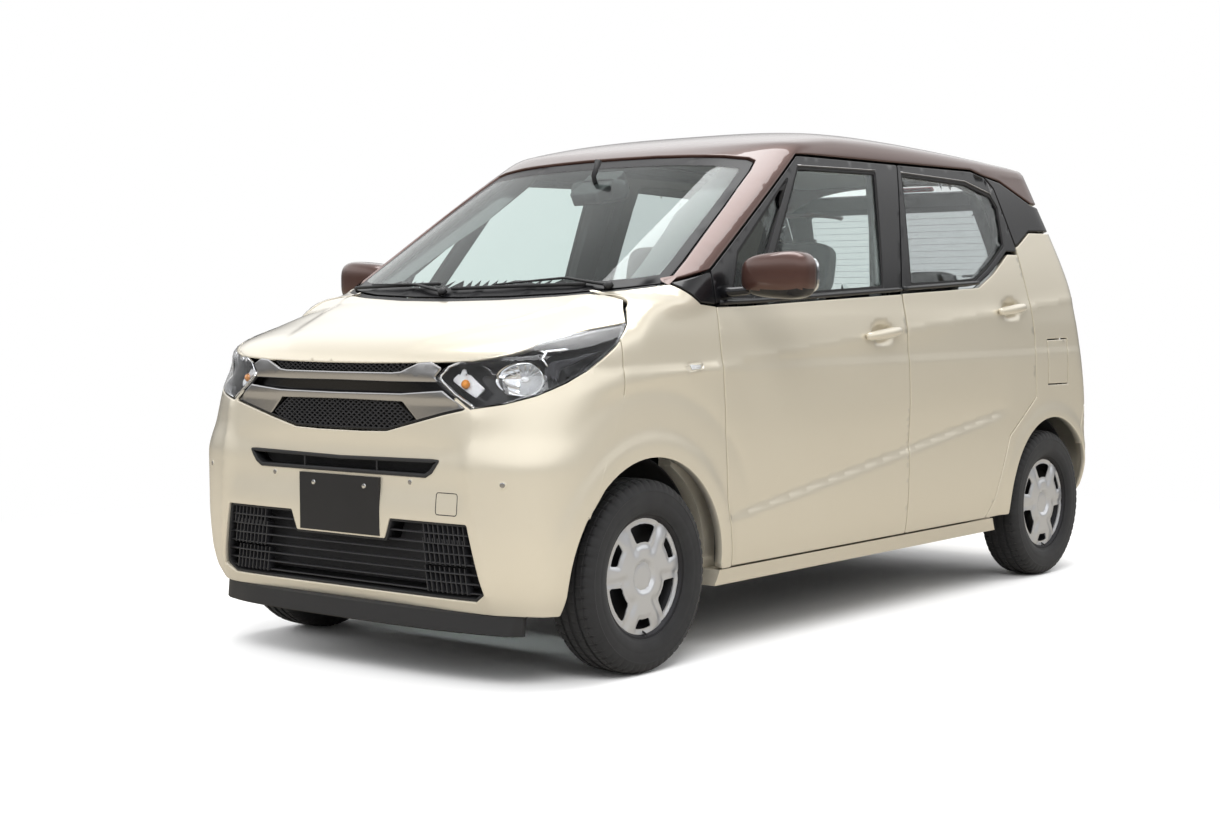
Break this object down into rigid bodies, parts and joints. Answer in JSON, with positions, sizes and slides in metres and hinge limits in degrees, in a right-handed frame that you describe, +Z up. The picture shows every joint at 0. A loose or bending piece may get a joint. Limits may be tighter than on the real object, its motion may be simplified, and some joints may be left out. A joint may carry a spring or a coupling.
{
  "type": "kei car",
  "caption": "Small tall hatchback car with a hollow cabin, side doors, bonnet, tailgate and fuel flap that open, steered front wheels and free rolling wheels.",
  "frame": {"origin": "on the ground, midway between the sides and midway along the length", "axes": "+X towards the car's left side, -Y towards its front, +Z up"},
  "size_m": [1.985, 3.395, 1.64],
  "materials": {
    "body_paint": "champagne pearl with clear coat",
    "roof_paint": "brown metallic with clear coat",
    "black_plastic": "fine grained black",
    "clear_glass": "clear with a faint green tint",
    "dark_glass": "dark privacy tint",
    "lamp_glass": "clear moulded lens",
    "red_lamp": "red moulded lens",
    "satin_silver": "satin silver with bright edges",
    "wheel_silver": "silver paint",
    "tyre_rubber": "matt black rubber",
    "chassis_metal": "dark underbody coating",
    "cabin_plastic": "soft grained dark grey",
    "seat_fabric": "dark woven cloth",
    "seal_rubber": "black rubber"
  },
  "bodies": {
    "root": {"underbody": "chassis_metal", "bulkhead": "chassis_metal", "rear_floor": "chassis_metal", "front_wheelhouses": "chassis_metal", "rear_wheelhouses": "chassis_metal", "body_sides": "body_paint", "tailgate_frame": "body_paint", "door_seals": "seal_rubber", "radiator_support": "chassis_metal", "roof": "roof_paint", "front_fenders": "body_paint", "rear_quarters": "body_paint", "pillar_trims": "black_plastic", "front_bumper": "body_paint", "chin_spoiler": "black_plastic", "rear_bumper": "body_paint", "upper_grille": "satin_silver", "lower_grille": "black_plastic", "headlamps": "lamp_glass", "tail_lamps": "red_lamp", "windscreen": "clear_glass", "cowl_panel": "black_plastic", "front_wipers": "seal_rubber", "front_plate": "black_plastic", "dashboard": "cabin_plastic", "steering_column": "cabin_plastic", "front_seats": "seat_fabric", "rear_seat": "seat_fabric", "cabin_mirror": "cabin_plastic", "engine_block": "chassis_metal", "fuel_tank": "chassis_metal", "exhaust": "chassis_metal", "front_suspension": "chassis_metal", "rear_axle_beam": "chassis_metal"},
    "bonnet": {"bonnet": "body_paint"},
    "tailgate": {"tailgate": "body_paint", "tailgate_glass": "dark_glass", "rear_plate": "black_plastic"},
    "fuel_flap": {"fuel_flap": "body_paint"},
    "steering_wheel": {"steering_wheel": "cabin_plastic"},
    "front_door_left": {"front_door_left": "body_paint", "front_door_glass_left": "clear_glass", "door_mirror_left": "roof_paint"},
    "front_door_right": {"front_door_right": "body_paint", "front_door_glass_right": "clear_glass", "door_mirror_right": "roof_paint"},
    "rear_door_left": {"rear_door_left": "body_paint", "rear_door_glass_left": "dark_glass"},
    "rear_door_right": {"rear_door_right": "body_paint", "rear_door_glass_right": "dark_glass"},
    "knuckle_left": {"knuckle_left": "chassis_metal"},
    "knuckle_right": {"knuckle_right": "chassis_metal"},
    "front_left_wheel": {"front_left_tyre": "tyre_rubber", "front_left_wheel": "wheel_silver"},
    "front_right_wheel": {"front_right_tyre": "tyre_rubber", "front_right_wheel": "wheel_silver"},
    "rear_left_wheel": {"rear_left_tyre": "tyre_rubber", "rear_left_wheel": "wheel_silver"},
    "rear_right_wheel": {"rear_right_tyre": "tyre_rubber", "rear_right_wheel": "wheel_silver"}
  },
  "joints": [
    {"name": "steer_left", "type": "hinge", "parent": "root", "child": "knuckle_left", "pos_m": [0.59, -1.1825, 0.278], "axis": [0, 0, 1], "range_deg": [-33, 33]},
    {"name": "steer_right", "type": "hinge", "parent": "root", "child": "knuckle_right", "pos_m": [-0.59, -1.1825, 0.278], "axis": [0, 0, 1], "range_deg": [-33, 33]},
    {"name": "steering_turn", "type": "hinge", "parent": "root", "child": "steering_wheel", "pos_m": [-0.335, -0.47, 0.96], "axis": [0, 0.9063, 0.4226], "range_deg": [-495, 495]},
    {"name": "front_left_spin", "type": "hinge", "parent": "knuckle_left", "child": "front_left_wheel", "pos_m": [0.65, -1.1825, 0.278], "axis": [1, 0, 0], "continuous": true},
    {"name": "front_right_spin", "type": "hinge", "parent": "knuckle_right", "child": "front_right_wheel", "pos_m": [-0.65, -1.1825, 0.278], "axis": [1, 0, 0], "continuous": true},
    {"name": "rear_left_spin", "type": "hinge", "parent": "root", "child": "rear_left_wheel", "pos_m": [0.645, 1.3125, 0.278], "axis": [1, 0, 0], "continuous": true},
    {"name": "rear_right_spin", "type": "hinge", "parent": "root", "child": "rear_right_wheel", "pos_m": [-0.645, 1.3125, 0.278], "axis": [1, 0, 0], "continuous": true},
    {"name": "front_door_left_hinge", "type": "hinge", "parent": "root", "child": "front_door_left", "pos_m": [0.738, -0.856, 0.65], "axis": [0, 0, -1], "range_deg": [0, 65]},
    {"name": "front_door_right_hinge", "type": "hinge", "parent": "root", "child": "front_door_right", "pos_m": [-0.738, -0.856, 0.65], "axis": [0, 0, 1], "range_deg": [0, 65]},
    {"name": "rear_door_left_hinge", "type": "hinge", "parent": "root", "child": "rear_door_left", "pos_m": [0.738, 0.22, 0.65], "axis": [0, 0, -1], "range_deg": [0, 65]},
    {"name": "rear_door_right_hinge", "type": "hinge", "parent": "root", "child": "rear_door_right", "pos_m": [-0.738, 0.22, 0.65], "axis": [0, 0, 1], "range_deg": [0, 65]},
    {"name": "bonnet_hinge", "type": "hinge", "parent": "root", "child": "bonnet", "pos_m": [0, -1.094, 1.097], "axis": [-1, 0, 0], "range_deg": [0, 50]},
    {"name": "tailgate_hinge", "type": "hinge", "parent": "root", "child": "tailgate", "pos_m": [0, 1.318, 1.571], "axis": [1, 0, 0], "range_deg": [0, 75]},
    {"name": "fuel_flap_hinge", "type": "hinge", "parent": "root", "child": "fuel_flap", "pos_m": [0.738, 1.272, 0.82], "axis": [0, 0, -1], "range_deg": [0, 100]}
  ],
  "couplings": [
    {"joint": "steer_right", "follows": "steer_left", "ratio": 1},
    {"joint": "steering_turn", "follows": "steer_left", "ratio": 15}
  ]
}
